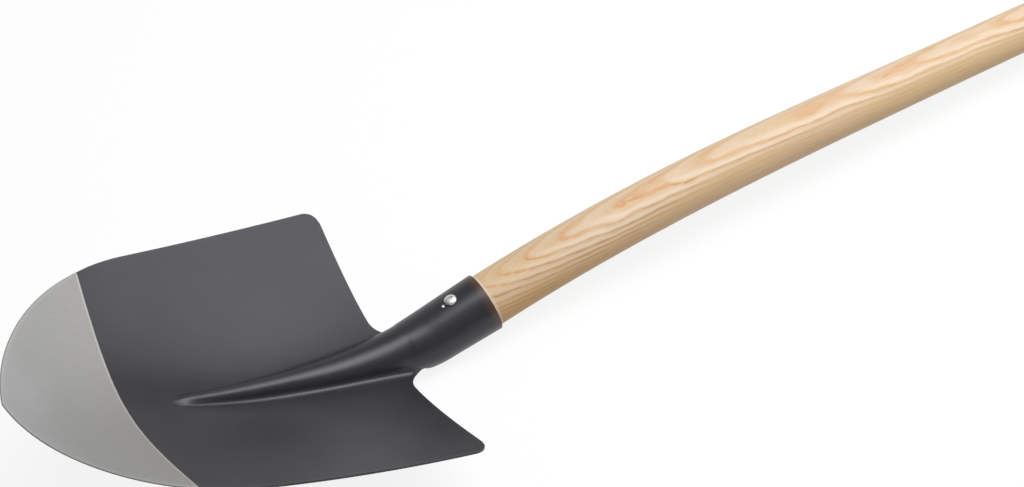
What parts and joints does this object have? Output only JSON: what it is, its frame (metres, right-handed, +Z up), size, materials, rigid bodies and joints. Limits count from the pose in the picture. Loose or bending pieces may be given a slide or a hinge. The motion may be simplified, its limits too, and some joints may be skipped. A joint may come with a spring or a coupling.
{
  "type": "pointed shovel",
  "caption": "Long handled pointed shovel: dished steel blade with a hollow ridge and rolled socket, ground bare tip, bent wooden handle, for digging and moving loose ground.",
  "frame": {"origin": "middle of the bounding box in plan, at the level it rests on", "axes": "+X from the blade's point towards the end of the handle, +Y across the blade, +Z up from the surface it lies on; the blade's hollow face is up"},
  "size_m": [1.5476, 0.2524, 0.1473],
  "materials": {
    "coated_steel": "satin anthracite powder coat, bare ground steel at the tip",
    "ash_wood": "pale sanded ash, lightly sealed",
    "zinc": "bright zinc plated"
  },
  "bodies": {
    "root": {"blade_and_socket": "coated_steel", "handle": "ash_wood", "socket_screw": "zinc", "socket_pin": "zinc"}
  },
  "joints": []
}
